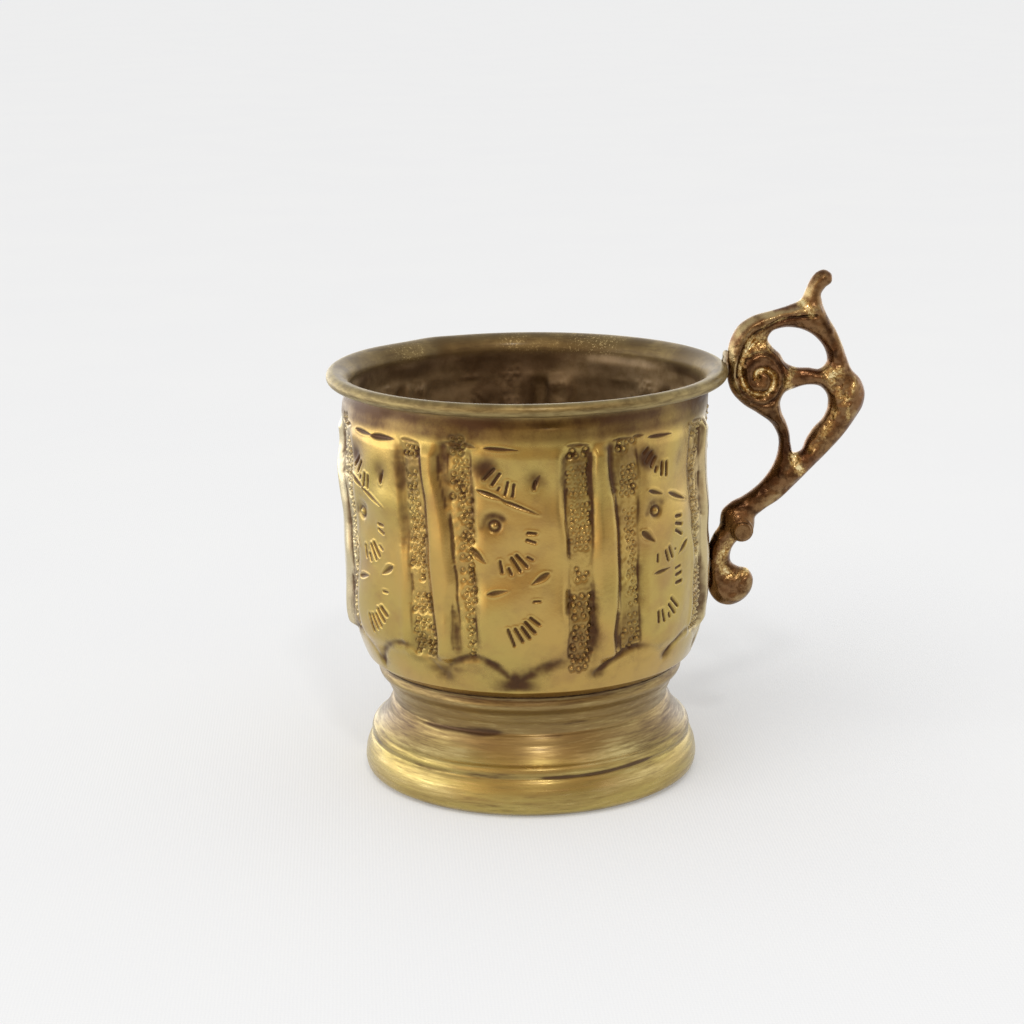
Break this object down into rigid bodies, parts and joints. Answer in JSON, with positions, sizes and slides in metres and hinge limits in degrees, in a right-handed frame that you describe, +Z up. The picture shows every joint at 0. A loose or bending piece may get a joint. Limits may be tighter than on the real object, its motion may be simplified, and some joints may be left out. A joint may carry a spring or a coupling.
{
  "type": "footed brass mug",
  "caption": "Antique brass mug: a chased cup with a rolled rim on a spun pedestal foot, with an openwork cast scroll handle.",
  "frame": {"origin": "on the cup's axis, in the plane of the ring that the foot rests on", "axes": "+Z up along the cup's axis, +X from the axis towards the handle, +Y across"},
  "size_m": [0.1028, 0.076, 0.0958],
  "materials": {
    "cup_brass": "antiqued olive-yellow sheet brass, rubbed bright on the high spots, dark brown in the chased marks",
    "foot_brass": "lathe-brushed antique brass, brown in the hollow, brighter on the bottom band",
    "handle_bronze": "cast brass with a brown bronze patina, brighter gold in the recesses",
    "solder": "dull grey soft solder"
  },
  "bodies": {
    "root": {"cup_body": "cup_brass", "pedestal_foot": "foot_brass", "handle": "handle_bronze", "foot_solder_ring": "solder", "rim_solder": "solder", "wall_solder": "solder"}
  },
  "joints": []
}
